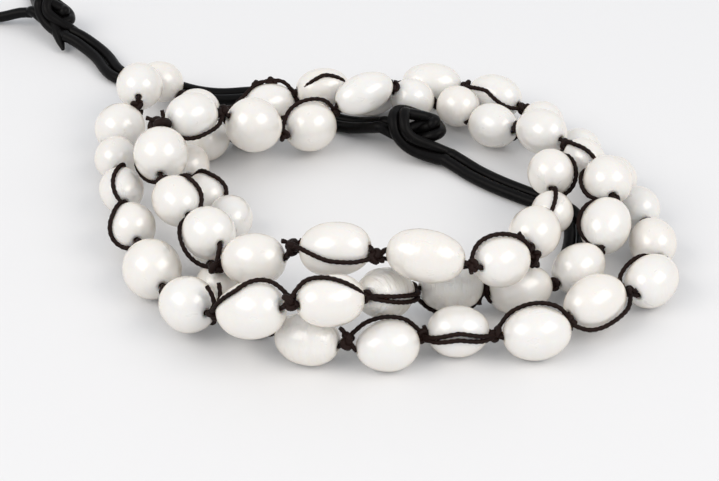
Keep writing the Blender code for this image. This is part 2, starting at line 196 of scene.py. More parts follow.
def knotted_pair(first=None, last=None, slim=1.0):
    """The two strands through a knot and its core; first and last move the whole way so that it runs between them."""
    places = [Vector(place) / 1000 for place, _ in KNOT_WAY] + [Vector(place) / 1000 for place in KNOT_CORE]
    facings = [Vector(facing) for _, facing in KNOT_WAY]
    count = len(KNOT_WAY)
    if first:
        own, meant = (places[count - 1] - places[0]).xy, (last - first).xy
        turn = Matrix.Rotation(math.atan2(meant.y, meant.x) - math.atan2(own.y, own.x), 3, "Z")
        scale = meant.length / own.length
        start, far = places[0].copy(), places[count - 1].copy()
        sink_first, sink_last = first.z - start.z * scale, last.z - far.z * scale
        moved = []
        for k, place in enumerate(places):
            aside = (place - start).xy - own * ((place - start).xy.dot(own) / own.length_squared)
            flat = turn @ ((place - start - aside.to_3d() * (1 - slim)) * scale)
            share = k / (count - 1) if k < count else 0.5
            moved.append(Vector((first.x + flat.x, first.y + flat.y,
                                 place.z * scale + sink_first * (1 - share) + sink_last * share)))
        places, facings = moved, [turn @ facing for facing in facings]
    knots = np.arange(count)
    steps = np.linspace(0, knots[-1], 150)
    line = smooth_curve(knots, places[:count], steps)
    outward = smooth_curve(knots, facings, steps)
    across = np.cross(np.gradient(line, axis=0), outward)
    across /= np.linalg.norm(across, axis=1)[:, None]
    pressed = 1 - PRESSED * np.minimum(1, np.sin(np.pi * steps / knots[-1]) * 2.5)
    across *= pressed[:, None] * LEATHER_SPACING / 2
    core = smooth_curve(np.arange(len(KNOT_CORE)), places[count:], np.linspace(0, len(KNOT_CORE) - 1, 24))
    return [line - across, line + across, core]


closure = leather_strand("closure_knot_strands", *knotted_pair())
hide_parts("closure_knot")
end_knot = leather_strand("end_knot_strands", *knotted_pair(END_KNOT_FIRST, END_KNOT_LAST, END_KNOT_SLIM),
                         END_KNOT_SPUR)
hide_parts("end_knot")

# The free leather strands
# The same leather in six limp lengths: two from the closure knot to the right, where the string's end is tied to
# them, two round the back to the end knot, and two tails beyond it.
LEATHER_STEP = 0.0010  # from point to point along a strand

LOOP_ROUTE = [
    (0.0128, 0.0198, 0.0014), (0.0149, 0.0180, 0.0010), (0.0163, 0.0165, 0.0009), (0.0177, 0.0151, 0.0009),
    (0.0205, 0.0127, 0.0009), (0.0224, 0.0113, 0.0009), (0.0244, 0.0099, 0.0009), (0.0264, 0.0087, 0.0009),
    (0.0282, 0.0074, 0.0009), (0.0296, 0.0058, 0.0009), (0.0304, 0.0040, 0.0009), (0.0306, 0.0020, 0.0009),
    (0.0305, 0.0000, 0.0009), (0.0303, -0.0016, 0.0009), (0.0300, -0.0032, 0.0009), (0.0296, -0.0048, 0.0009),
]
BACK_ROUTE = [
    (0.0032, 0.0256, 0.0034), (0.0010, 0.0270, 0.0024), (-0.0015, 0.0287, 0.0014), (-0.0048, 0.0308, 0.0010),
    (-0.0080, 0.0338, 0.0009), (-0.0110, 0.0364, 0.0009), (-0.0142, 0.0379, 0.0009), (-0.0177, 0.0380, 0.0009),
    (-0.0208, 0.0376, 0.0009), (-0.0239, 0.0379, 0.0009), (-0.0270, 0.0390, 0.0009), (-0.0300, 0.0407, 0.0009),
    (-0.0330, 0.0421, 0.0009), (-0.0358, 0.0430, 0.0009), (-0.0380, 0.0442, 0.0009), (-0.0394, 0.0460, 0.0010),
    (-0.0405, 0.0482, 0.0012), (-0.0420, 0.0503, 0.0015), (-0.0436, 0.0520, 0.0018), (-0.0452, 0.0533, 0.0022),
    (-0.0467, 0.0543, 0.0024),
]
TAIL_ROUTES = [
    [(-0.0534, 0.0610, 0.0025), (-0.0551, 0.0614, 0.0023), (-0.0570, 0.0615, 0.0018), (-0.0590, 0.0618, 0.0012),
     (-0.0615, 0.0624, 0.0009), (-0.0648, 0.0637, 0.0009), (-0.0685, 0.0655, 0.0009), (-0.0722, 0.0676, 0.0009),
     (-0.0755, 0.0700, 0.0009), (-0.0785, 0.0729, 0.0009), (-0.0808, 0.0762, 0.0009)],
    [(-0.0524, 0.0623, 0.0026), (-0.0530, 0.0648, 0.0017), (-0.0537, 0.0680, 0.0010), (-0.0547, 0.0716, 0.0009),
     (-0.0558, 0.0752, 0.0009), (-0.0572, 0.0786, 0.0009), (-0.0590, 0.0820, 0.0009), (-0.0614, 0.0856, 0.0009),
     (-0.0652, 0.0897, 0.0009)],
]


def leather_line(route, side, step):
    """Points along one strand of a pair: side is -1 or 1, or 0 for the line itself."""
    route = np.array(route)
    along = np.concatenate([[0], np.cumsum(np.linalg.norm(np.diff(route, axis=0), axis=1))])
    count = max(12, round(along[-1] / step))
    line = smooth_curve(along, route, np.linspace(0, along[-1], count + 1))
    ahead = np.gradient(line, axis=0)
    across = np.cross(ahead, (0, 0, 1))
    across /= np.linalg.norm(across, axis=1)[:, None]
    line = line + across * side * LEATHER_SPACING / 2
    line[:, 2] = np.maximum(line[:, 2], LEATHER_DIAMETER / 2)
    return line


def lay_cord(name, node, line):
    """One strand of free cord, laid in place of the frame's own piece, which is hidden."""
    strand = leather_strand(name, line)
    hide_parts(node)


for number, side in ((1, -1), (2, 1)):
    lay_cord(f"loop_strand_{number}", f"leather_loop_{number}", leather_line(LOOP_ROUTE, side, LEATHER_STEP))
    lay_cord(f"back_strand_{number}", f"leather_back_{number}", leather_line(BACK_ROUTE, side, LEATHER_STEP))
    lay_cord(f"tail_strand_{number}", f"leather_tail_{number}", leather_line(TAIL_ROUTES[number - 1], 0, LEATHER_STEP))

# The pearls
# Sixty off-round freshwater pearls of about 7 by 8 mm, drilled lengthways and strung in one spiral of three turns.
# The string is settled as it lies: each pearl in reach of the next, clear of its neighbours and of the floor.
PEARL_LENGTH = 0.0080
PEARL_WIDTH = 0.0068
HOLE_DIAMETER = 0.0009
GAP_LEAST = 0.0008  # from pearl to pearl, over the knot
GAP_MOST = 0.0024
LONG_GAPS = {23: 0.0048, 24: 0.0040}  # stretches of bare thread that are longer, by the pearl before them
CLEARANCE = 0.00045  # between pearls that only lie beside each other
SETTLE_ROUNDS = 320
FIRST_ROUNDS = 0.6  # share of the rounds with the first draw
FIRST_DRAW = 0.12  # how strongly each pearl is drawn to its place, at first and at last
LAST_DRAW = 0.02
MOUTH_HEIGHT = 0.42  # the least height of a hole's mouth, as a share of the pearl's width
CORE_SHARE = 0.9  # of a pearl's straight middle that counts when pearls are kept apart
CORD_STEP = 0.0035  # from place to place along the leather that pearls are kept clear of
TOUCHING = 0.0003  # a pearl that is nearer to the floor than this is set down on it

# Number of the pearl, counted from 0, and the place of its middle
ROUTE = [
    (0, -0.0165, 0.0256, 0.0034), (1, -0.0223, 0.0219, 0.0033), (2, -0.0251, 0.0152, 0.0032),
    (3, -0.0222, 0.0073, 0.0032), (4, -0.0185, 0.0011, 0.0033), (5, -0.0203, -0.0065, 0.0032),
    (7, -0.0149, -0.0216, 0.0032), (8, -0.0070, -0.0276, 0.0035), (9, 0.0035, -0.0287, 0.0034),
    (10, 0.0128, -0.0256, 0.0037), (11, 0.0232, -0.0264, 0.0036), (12, 0.0312, -0.0202, 0.0044),
    (13, 0.0396, -0.0144, 0.0035), (14, 0.0406, -0.0050, 0.0035), (16, 0.0369, 0.0114, 0.0031),
    (17, 0.0323, 0.0191, 0.0031), (19, 0.0203, 0.0337, 0.0033), (20, 0.0108, 0.0370, 0.0033),
    (21, 0.0020, 0.0342, 0.0032), (22, -0.0058, 0.0330, 0.0052), (23, -0.0134, 0.0304, 0.0032),
    (24, -0.0256, 0.0288, 0.0034), (25, -0.0315, 0.0377, 0.0033), (26, -0.0326, 0.0304, 0.0060),
    (27, -0.0354, 0.0247, 0.0043), (29, -0.0343, 0.0064, 0.0044), (31, -0.0286, -0.0125, 0.0041),
    (32, -0.0232, -0.0218, 0.0047), (33, -0.0143, -0.0277, 0.0082), (34, -0.0040, -0.0288, 0.0100),
    (35, 0.0034, -0.0217, 0.0067), (36, 0.0122, -0.0169, 0.0045), (37, 0.0216, -0.0159, 0.0036),
    (38, 0.0297, -0.0125, 0.0043), (39, 0.0338, -0.0054, 0.0064), (40, 0.0346, 0.0022, 0.0089),
    (41, 0.0320, 0.0103, 0.0073), (42, 0.0264, 0.0181, 0.0069), (43, 0.0196, 0.0245, 0.0040),
    (44, 0.0145, 0.0298, 0.0040), (45, 0.0078, 0.0302, 0.0044), (46, 0.0005, 0.0276, 0.0077),
    (47, -0.0075, 0.0234, 0.0043), (48, -0.0157, 0.0190, 0.0073), (49, -0.0245, 0.0162, 0.0110),
    (50, -0.0287, 0.0078, 0.0097), (51, -0.0258, -0.0019, 0.0081), (52, -0.0202, -0.0122, 0.0083),
    (53, -0.0144, -0.0177, 0.0092), (54, -0.0034, -0.0193, 0.0123), (55, 0.0084, -0.0224, 0.0132),
    (56, 0.0187, -0.0200, 0.0107), (57, 0.0236, -0.0107, 0.0086), (58, 0.0265, -0.0034, 0.0072),
    (59, 0.0268, 0.0048, 0.0085),
]

# Each pearl's length and width, as shares of PEARL_LENGTH and PEARL_WIDTH, in the order of the string
PEARLS = [
    (0.83, 0.91), (0.83, 0.91), (0.80, 0.88), (0.83, 0.91), (0.85, 0.94), (0.80, 0.91),
    (0.80, 0.91), (0.83, 0.91), (1.10, 1.03), (1.06, 1.00), (1.03, 1.01), (1.15, 1.06),
    (1.18, 1.01), (1.05, 1.03), (0.93, 0.97), (0.83, 0.91), (0.83, 0.91), (0.83, 0.91),
    (0.83, 0.91), (1.05, 0.97), (1.13, 0.96), (0.93, 0.94), (1.00, 0.89), (0.98, 0.94),
    (0.85, 0.91), (0.85, 0.91), (0.95, 1.03), (0.95, 1.09), (0.83, 0.94), (0.88, 0.94),
    (0.88, 0.97), (1.08, 1.20), (1.03, 1.12), (1.21, 1.12), (1.11, 1.01), (1.08, 1.03),
    (1.10, 1.06), (1.10, 1.00), (1.00, 0.97), (1.03, 1.03), (0.91, 1.01), (0.80, 0.85),
    (1.03, 0.97), (0.99, 0.97), (0.80, 0.91), (0.85, 0.91), (1.15, 0.87), (0.98, 1.09),
    (1.05, 1.18), (0.98, 1.00), (0.98, 1.15), (1.03, 0.99), (0.95, 1.06), (1.11, 1.06),
    (1.20, 1.06), (1.30, 1.04), (1.11, 1.01), (1.05, 1.04), (0.80, 0.88), (0.85, 0.97),
]
SECOND_STRAND_FROM = 30  # the first pearl of the second half

# What is kept clear of: both ends of each lump of the closure knot, and its radius
CLOSURE_KNOT = [
    ((0.0060, 0.0216, 0.0042), (0.0060, 0.0254, 0.0048), 0.0021),
    ((0.0098, 0.0228, 0.0034), (0.0110, 0.0244, 0.0036), 0.0025),
    ((0.0066, 0.0216, 0.0030), (0.0108, 0.0207, 0.0023), 0.0019),
]


def nearest_on_cores(mid, axis, core, i, j):
    """The closest places of two pearls' straight cores."""
    first, second = axis[i] * core[i] * 2, axis[j] * core[j] * 2
    between = (mid[i] - first / 2) - (mid[j] - second / 2)
    a, e, b = first @ first, second @ second, first @ second
    c, f = first @ between, second @ between
    spread = a * e - b * b
    s = np.clip((b * f - c * e) / spread, 0, 1) if spread > 1e-18 else 0.5
    t = (b * s + f) / max(e, 1e-12)
    if not 0 <= t <= 1:
        t = min(max(t, 0.0), 1.0)
        s = np.clip((b * t - c) / max(a, 1e-12), 0, 1)
    return mid[i] - first / 2 + first * s, mid[j] - second / 2 + second * t


def settled_pearls():
    """Each pearl's two hole ends, after the string has settled: strung in reach, apart and on the floor."""
    length = np.array([share[0] for share in PEARLS]) * PEARL_LENGTH
    width = np.array([share[1] for share in PEARLS]) * PEARL_WIDTH
    numbers = [row[0] for row in ROUTE]
    home = smooth_curve(numbers, [row[1:] for row in ROUTE], np.arange(len(PEARLS)))
    ahead = np.gradient(home, axis=0)
    ahead /= np.linalg.norm(ahead, axis=1)[:, None]
    ends = np.stack([home - ahead * length[:, None] / 2, home + ahead * length[:, None] / 2], axis=1)
    core = np.maximum(length - width, 0.0001) / 2 * CORE_SHARE
    leather = np.concatenate([leather_line(r, s, CORD_STEP) for r in (LOOP_ROUTE, BACK_ROUTE) for s in (-1, 1)])
    leather = np.concatenate([leather, (leather[1:] + leather[:-1]) / 2])
    lumps = [(place, radius) for near, far, radius in CLOSURE_KNOT for place in (near, far)]
    solid = np.concatenate([leather, [place for place, _ in lumps]])
    reach = np.concatenate([np.full(len(leather), LEATHER_DIAMETER / 2), [radius for _, radius in lumps]])
    for turn in range(SETTLE_ROUNDS):
        pull = FIRST_DRAW if turn < SETTLE_ROUNDS * FIRST_ROUNDS else LAST_DRAW
        ends += ((home - ends.mean(axis=1)) * pull)[:, None]
        for i in range(len(PEARLS) - 1):
            step = ends[i + 1, 0] - ends[i, 1]
            gap = np.linalg.norm(step)
            most = LONG_GAPS.get(i, GAP_MOST)
            move = step / gap * (gap - min(max(gap, GAP_LEAST), most)) / 2
            ends[i, 1] += move
            ends[i + 1, 0] -= move
        step = ends[:, 1] - ends[:, 0]
        now = np.linalg.norm(step, axis=1)
        move = step / now[:, None] * (now - length)[:, None] / 2
        ends[:, 0] += move
        ends[:, 1] -= move
        axis = (ends[:, 1] - ends[:, 0]) / length[:, None]
        mid = ends.mean(axis=1)
        apart = np.linalg.norm(mid[:, None] - mid[None], axis=2)
        near = np.argwhere(np.triu(apart < (length[:, None] + length[None]) / 2 + CLEARANCE, 1))
        for i, j in near:
            here, there = nearest_on_cores(mid, axis, core, i, j)
            step = there - here
            now = np.linalg.norm(step)
            short = (width[i] + width[j]) / 2 + CLEARANCE - now
            if short > 0:
                move = step / now * short / 2
                ends[i] -= move
                ends[j] += move
                mid[i] -= move
                mid[j] += move
        for i in range(len(PEARLS)):
            along = np.clip((solid - mid[i]) @ axis[i], -core[i], core[i])
            step = mid[i] + along[:, None] * axis[i] - solid
            now = np.linalg.norm(step, axis=1)
            short = width[i] / 2 + reach + CLEARANCE - now
            worst = int(short.argmax())
            if short[worst] > 0:
                ends[i] += step[worst] / now[worst] * short[worst]
        lift = width / 2 - ends.mean(axis=1)[:, 2]
        ends[:, :, 2] += np.maximum(lift, 0)[:, None]
        ends[:, :, 2] = np.maximum(ends[:, :, 2], (width * MOUTH_HEIGHT)[:, None])
    on_floor = ends.mean(axis=1)[:, 2] < width / 2 + TOUCHING
    ends[on_floor, :, 2] = (width[on_floor] / 2)[:, None]
    low = np.min(ends.mean(axis=1) - width[:, None] / 2, axis=0)
    high = np.max(ends.mean(axis=1) + width[:, None] / 2, axis=0)
    middle = np.array([(low[0] + high[0]) / 2, (low[1] + high[1]) / 2, 0])
    return ends - middle, width


pearl_ends, pearl_width = settled_pearls()

# Where each pearl's own form leaves the common one. Fatness rounds the shoulders, below 1, or draws the ends to
# points, above 1. Taper makes the far end fatter. Rings is the depth of the growth rings that run round it.
PEARL_FORMS = {
    # pearl: (fatness, taper, rings)
    8: (0.90, 0.0, 0.016),
    9: (0.98, 0.05, 0.0),
    10: (0.92, -0.04, 0.0),
    11: (1.0, -0.04, 0.0),
    12: (0.95, 0.03, 0.0),
    33: (0.88, 0.05, 0.0),
    34: (0.76, 0.05, 0.0),
    35: (0.72, 0.0, 0.034),
    36: (0.85, 0.05, 0.026),
    53: (0.95, 0.02, 0.0),
    54: (0.80, -0.03, 0.0),
    55: (0.90, 0.0, 0.009),
    56: (1.02, -0.04, 0.0),
}


class Rule:
    """A Geometry Nodes tree with named inputs, whose sockets can be summed like numbers."""

    def __init__(self, name, inputs):
        self.tree = bpy.data.node_groups.new(name, "GeometryNodeTree")
        self.tree.interface.new_socket("Geometry", in_out="INPUT", socket_type="NodeSocketGeometry")
        self.tree.interface.new_socket("Geometry", in_out="OUTPUT", socket_type="NodeSocketGeometry")
        self.identifiers = {}
        for title, value in inputs.items():
            kind = {float: "Float", int: "Int"}.get(type(value), "Material")
            socket = self.tree.interface.new_socket(title, in_out="INPUT", socket_type=f"NodeSocket{kind}")
            if kind != "Material":
                socket.default_value = value
            self.identifiers[title] = socket.identifier
        self.inputs = inputs
        self.given = self.tree.nodes.new("NodeGroupInput")
        self.made = self.tree.nodes.new("NodeGroupOutput")

    def __getitem__(self, title):
        return Term(self, self.given.outputs[title])

    def node(self, node_type, settings=None, out=0, **inputs):
        inputs = {name: value.socket if isinstance(value, Term) else value for name, value in inputs.items()}
        return Term(self, wire(self.tree, node_type, settings, **inputs).outputs[out])

    def attribute(self, name, data_type="FLOAT"):
        return self.node("GeometryNodeInputNamedAttribute", {"data_type": data_type}, Name=name)

    def vector(self, x, y, z):
        return self.node("ShaderNodeCombineXYZ", X=x, Y=y, Z=z)

    def parts(self, vector):
        split = wire(self.tree, "ShaderNodeSeparateXYZ", None, _0=vector.socket)
        return [Term(self, socket) for socket in split.outputs]

    def finish(self, geometry):
        """Sets the material, realizes what is left of instances, and ends the tree."""
        solid = self.node("GeometryNodeRealizeInstances", Geometry=geometry)
        smooth = self.node("GeometryNodeSetShadeSmooth", Geometry=solid)
        painted = self.node("GeometryNodeSetMaterial", Geometry=smooth, Material=self["Material"])
        self.tree.links.new(painted.socket, self.made.inputs[0])

    def build(self, name, source, **values):
        """A plain mesh piece that this tree makes from a source object, which is removed."""
        making = source.modifiers.new(self.tree.name, "NODES")
        making.node_group = self.tree
        for title, value in {**self.inputs, **values}.items():
            making[self.identifiers[title.replace("_", " ")]] = value
        graph = bpy.context.evaluated_depsgraph_get()
        mesh = bpy.data.meshes.new_from_object(source.evaluated_get(graph), depsgraph=graph)
        mesh.name = name
        source.modifiers.remove(making)
        bpy.data.objects.remove(source)
        piece = bpy.data.objects.new(name, mesh)
        bpy.context.collection.objects.link(piece)
        return piece


class Term:
    """One socket in a rule."""

    def __init__(self, rule, socket):
        self.rule = rule
        self.socket = socket

    def math(self, operation, *others):
        inputs = {f"_{k}": value for k, value in enumerate((self, *others))}
        return self.rule.node("ShaderNodeMath", {"operation": operation}, **inputs)

    def vector_math(self, operation, other):
        return self.rule.node("ShaderNodeVectorMath", {"operation": operation}, _0=self, _1=other)

    def __add__(self, other):
        return self.math("ADD", other)

    def __sub__(self, other):
        return self.math("SUBTRACT", other)

    def __mul__(self, other):
        return self.math("MULTIPLY", other)

    def __truediv__(self, other):
        return self.math("DIVIDE", other)


nacre, tree, shader = new_material("pearl nacre")
form = wire(tree, "ShaderNodeAttribute", {"attribute_name": "unit"})
tint = wire(tree, "ShaderNodeAttribute", {"attribute_name": "tint"})
split = wire(tree, "ShaderNodeSeparateXYZ", None, _0=form.outputs["Vector"])
apart = wire(tree, "ShaderNodeVectorMath", {"operation": "MULTIPLY_ADD"}, _0=tint.outputs["Vector"], _1=(37, 19, 53),
             _2=form.outputs["Vector"])
cloud = wire(tree, "ShaderNodeTexNoise", None, Vector=apart.outputs[0], Scale=1.6, Detail=3.0)
band_line = wire(tree, "ShaderNodeVectorMath", {"operation": "MULTIPLY"}, _0=apart.outputs[0], _1=(0.35, 0.35, 3.2))
bands = wire(tree, "ShaderNodeTexNoise", None, Vector=band_line.outputs[0], Scale=2.0, Detail=4.0, Roughness=0.55)
ringed = wire(tree, "ShaderNodeAttribute", {"attribute_name": "rings"})
ring_share = wire(tree, "ShaderNodeMath", {"operation": "MULTIPLY_ADD"}, _0=ringed.outputs["Fac"], _1=9.0, _2=-0.2)
blend = wire(tree, "ShaderNodeMath", {"operation": "MULTIPLY_ADD"}, _0=bands.outputs["Fac"], _1=0.8,
             _2=ring_share.outputs[0])
relief = wire(tree, "ShaderNodeMath", {"operation": "MULTIPLY_ADD", "use_clamp": True}, _0=ringed.outputs["Fac"],
              _1=30.0, _2=0.12)
cream = wire(tree, "ShaderNodeMix", {"data_type": "RGBA"}, _0=tint.outputs["Fac"], _6=(0.845, 0.845, 0.835, 1),
             _7=(0.85, 0.825, 0.79, 1))
body = wire(tree, "ShaderNodeMix", {"data_type": "RGBA"}, _0=blend.outputs[0], _6=cream.outputs[2],
            _7=(0.83, 0.785, 0.71, 1))
# Towards the rims the colour turns cream. This is partly the nacre's own orient and partly painted warm bounce light,
# standing in for the warm shade under and between the pearls.
rim = wire(tree, "ShaderNodeLayerWeight", None, Blend=0.3)
painted_bounce_share = wire(tree, "ShaderNodeMath", {"operation": "POWER"}, _0=rim.outputs["Facing"], _1=1.8)
orient_and_painted_bounce = wire(tree, "ShaderNodeMix", {"data_type": "RGBA"}, _0=painted_bounce_share.outputs[0], _6=body.outputs[2],
              _7=(0.85, 0.72, 0.55, 1))
tree.links.new(orient_and_painted_bounce.outputs[2], shader.inputs["Base Color"])
rough = wire(tree, "ShaderNodeMapRange", None, Value=cloud.outputs["Fac"], To_Min=0.24, To_Max=0.34)
tree.links.new(rough.outputs[0], shader.inputs["Roughness"])
bump = wire(tree, "ShaderNodeBump", None, Height=bands.outputs["Fac"], Strength=relief.outputs[0],
            Distance=0.0005)
tree.links.new(bump.outputs[0], shader.inputs["Normal"])
shader.inputs["Subsurface Weight"].default_value = 0.25
shader.inputs["Subsurface Radius"].default_value = (1.0, 0.75, 0.5)
shader.inputs["Subsurface Scale"].default_value = 0.0012
shader.inputs["IOR"].default_value = 1.9
shader.inputs["Coat Weight"].default_value = 0.8
shader.inputs["Coat Roughness"].default_value = 0.13
shader.inputs["Coat IOR"].default_value = 1.55

# A ring of points for each pearl is bent to its own profile: rows of `unit` run from -1 to 1 along the hole, and the
# last ones turn in to line the drilled hole.
pearl_rule = Rule("strung pearls", {"Sides": 40, "Rows": 29, "Hole Diameter": HOLE_DIAMETER, "Unevenness": 0.035,
                                    "Seed": 7.0, "Material": nacre})
tube = pearl_rule.node("GeometryNodeMeshCylinder", {"fill_type": "NGON"}, Vertices=pearl_rule["Sides"],
                       Side_Segments=pearl_rule["Rows"], Radius=1.0, Depth=2.0)
place = pearl_rule.node("GeometryNodeInputPosition")
unit_tube = pearl_rule.node("GeometryNodeStoreNamedAttribute", {"data_type": "FLOAT_VECTOR", "domain": "POINT"},
                            Geometry=tube, Name="unit", Value=place)
strung = pearl_rule.node("GeometryNodeInstanceOnPoints", Points=pearl_rule["Geometry"], Instance=unit_tube)
loose = pearl_rule.node("GeometryNodeRealizeInstances", Geometry=strung)
unit = pearl_rule.attribute("unit", "FLOAT_VECTOR")
unit_x, unit_y, unit_z = pearl_rule.parts(unit)
HOLE_FROM = 0.93  # share of the rows, from the middle, that the pearl's outside takes
FLOOR_CLEAR = 0.00001
size = unit_z.math("ABSOLUTE")
hand = unit_z.math("SIGN")
outside = (size / HOLE_FROM).math("MINIMUM", 1.0)
inside = (size - HOLE_FROM).math("MAXIMUM", 0.0) / (1 - HOLE_FROM)
half_width = pearl_rule.attribute("wide") / 2.0
half_length = pearl_rule.attribute("long") / 2.0
mouth = (pearl_rule["Hole Diameter"] / 2.0) / half_width
turn_limit = mouth.math("ARCCOSINE")
angle = outside * turn_limit
rise = angle.math("SINE") / turn_limit.math("SINE")
girth = angle.math("COSINE").math("POWER", pearl_rule.attribute("fatness"))
ball = pearl_rule.vector(unit_x * girth, unit_y * girth, rise * hand)
seeded = pearl_rule.attribute("tint") * 61.0 + pearl_rule["Seed"]
cloud_place = ball.vector_math("ADD", pearl_rule.vector(seeded, seeded * 1.7, seeded * 0.6))
cloud = pearl_rule.node("ShaderNodeTexNoise", Vector=cloud_place, Scale=0.75, Detail=1.0)
uneven = (cloud - 0.5) * pearl_rule["Unevenness"] * 2.0
ring_cloud = pearl_rule.node("ShaderNodeTexNoise", Vector=cloud_place, Scale=1.4, Detail=2.0)
ring_wave = ((unit_z * 17.0) + ring_cloud * 9.0).math("SINE")
ringed = pearl_rule.attribute("rings") * (ring_wave * 0.5 - 0.5)
tapered = pearl_rule.attribute("taper") * rise * hand
swell = (uneven + ringed + tapered + 1.0) * girth
narrow = swell.math("MAXIMUM", mouth) * half_width * (inside * -0.06 + 1.0)
height = hand * half_length * (rise - inside * 0.22)
local = pearl_rule.vector(unit_x * narrow, unit_y * narrow, height)
turned = pearl_rule.node("FunctionNodeRotateVector", Vector=local, Rotation=pearl_rule.attribute("turn", "QUATERNION"))
placed = turned.vector_math("ADD", pearl_rule.attribute("middle", "FLOAT_VECTOR"))
placed_x, placed_y, placed_z = pearl_rule.parts(placed)
on_floor = pearl_rule.vector(placed_x, placed_y, placed_z.math("MAXIMUM", FLOOR_CLEAR))
pearl_rule.finish(pearl_rule.node("GeometryNodeSetPosition", Geometry=loose, Position=on_floor))


def pearl_turn(i):
    """How pearl i lies: its X away from the floor, its Y to the outside of the loop, its Z along the hole."""
    along = Vector(pearl_ends[i, 1] - pearl_ends[i, 0]).normalized()
    outward = along.cross(Vector((0, 0, 1))).normalized()
    return Matrix((outward.cross(along), outward, along)).transposed()


def pearl_points(name, pearls):
    """One point for each pearl, with its own sizes as attributes."""
    mesh = bpy.data.meshes.new(name)
    middles = [Vector(pearl_ends[i].mean(axis=0)) for i in pearls]
    mesh.from_pydata(middles, [], [])
    chance = np.random.default_rng(11)
    columns = {"wide": [], "long": [], "fatness": [], "taper": [], "rings": [], "tint": []}
    for i in range(len(PEARLS)):
        drawn = (chance.uniform(0.86, 1.02), chance.uniform(-0.05, 0.05), 0.0)
        values = (pearl_width[i], PEARLS[i][0] * PEARL_LENGTH, *PEARL_FORMS.get(i, drawn), chance.uniform(0, 1))
        if i in pearls:
            for column, value in zip(columns.values(), values):
                column.append(value)
    for title, values in columns.items():
        mesh.attributes.new(title, "FLOAT", "POINT").data.foreach_set("value", values)
    mesh.attributes.new("middle", "FLOAT_VECTOR", "POINT").data.foreach_set("vector", np.ravel(middles))
    turns = np.ravel([list(pearl_turn(i).to_quaternion()) for i in pearls])
    mesh.attributes.new("turn", "QUATERNION", "POINT").data.foreach_set("value", turns)
    points = bpy.data.objects.new(name, mesh)
    bpy.context.collection.objects.link(points)
    return points


pearl_pieces = []
for number, pearls in ((1, range(SECOND_STRAND_FROM)), (2, range(SECOND_STRAND_FROM, len(PEARLS)))):
    piece = pearl_rule.build(f"pearls_{number}", pearl_points(f"pearl points {number}", pearls))
    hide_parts(f"pearl_strand_{number}")
    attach(piece, "root")
    pearl_pieces.append(piece)

# The side cords
# Dark brown two-ply waxed linen, 0.7 mm thick. A length of it is led over the outside of each pearl, pulled tight
# and caught in the knots on both sides.
LINEN_DIAMETER = 0.00070
LINEN_TWIST = 0.0017  # length of one full turn of the two plies
LINEN_LIFT = 0.6  # least height of a line above the floor, as a share of LINEN_DIAMETER
KNOT_SIZE = 0.0023
KNOT_SEAT = 0.18  # how far off the hole's line a cord goes into a knot, as a share of KNOT_SIZE
CORD_SEAT = 0.46  # from a pearl's surface to the middle of its cord, as a share of LINEN_DIAMETER
PAIR_SHIFT = 0.62  # how far each cord of a pair lies from their middle, as a share of LINEN_DIAMETER
SURFACE_REACH = 0.006  # the farthest that a pearl's surface can lie from its hole's line

linen, tree, shader = new_material("waxed linen")
here = wire(tree, "ShaderNodeTexCoord")
skin = wire(tree, "ShaderNodeGroup", {"node_tree": grain}, Vector=here.outputs["Object"], Grain_Size=0.00016,
            Wear_Size=0.003)
tone = wire(tree, "ShaderNodeMix", {"data_type": "RGBA"}, _0=skin.outputs["Wear"], _6=(0.0050, 0.0022, 0.0018, 1),
            _7=(0.023, 0.0100, 0.0072, 1))
rough = wire(tree, "ShaderNodeMapRange", None, Value=skin.outputs["Wear"], To_Min=0.42, To_Max=0.62)
bump = wire(tree, "ShaderNodeBump", None, Height=skin.outputs["Height"], Strength=0.4, Distance=0.00005)
tree.links.new(tone.outputs[2], shader.inputs["Base Color"])
tree.links.new(rough.outputs[0], shader.inputs["Roughness"])
tree.links.new(bump.outputs[0], shader.inputs["Normal"])
shader.inputs["Specular IOR Level"].default_value = 0.13

linen_rule = Rule("two-ply linen", {"Thickness": LINEN_DIAMETER, "Twist Length": LINEN_TWIST, "Step": 0.00022,
                                    "Sides": 10, "Material": linen})
even = linen_rule.node("GeometryNodeResampleCurve", {"mode": "LENGTH"}, Curve=linen_rule["Geometry"],
                       Length=linen_rule["Step"])
travelled = linen_rule.node("GeometryNodeSplineParameter", out=1)
twisted = linen_rule.node("GeometryNodeSetCurveTilt", Curve=even,
                          Tilt=travelled / linen_rule["Twist Length"] * math.tau)
round_ply = linen_rule.node("GeometryNodeCurvePrimitiveCircle", Resolution=linen_rule["Sides"],
                            Radius=linen_rule["Thickness"] / 2.0)
plies = linen_rule.node("GeometryNodeTransform", Geometry=round_ply, Scale=(1.0, 0.84, 1.0))
linen_rule.finish(linen_rule.node("GeometryNodeCurveToMesh", Curve=twisted, Profile_Curve=plies, Fill_Caps=True))

pearl_surfaces = [BVHTree.FromPolygons([v.co for v in p.data.vertices], [f.vertices[:] for f in p.data.polygons])
                  for p in pearl_pieces]
knot_places = (pearl_ends[:-1, 1] + pearl_ends[1:, 0]) / 2
# How far some knots hang off the line of the holes: across and up as seen from the front, in millimetres
KNOT_SHIFTS = {
    # the pearl before the knot: (across, up)
    53: (-0.1, 1.1), 54: (-0.4, -1.2), 33: (0.1, 0.7), 8: (0.0, 1.0), 52: (-0.8, -2.0), 49: (-0.7, 0.3),
}
for gap, (across, up) in KNOT_SHIFTS.items():
    knot_places[gap] += (np.array((across, 0, 0)) + np.array(view_up) * up) / 1000

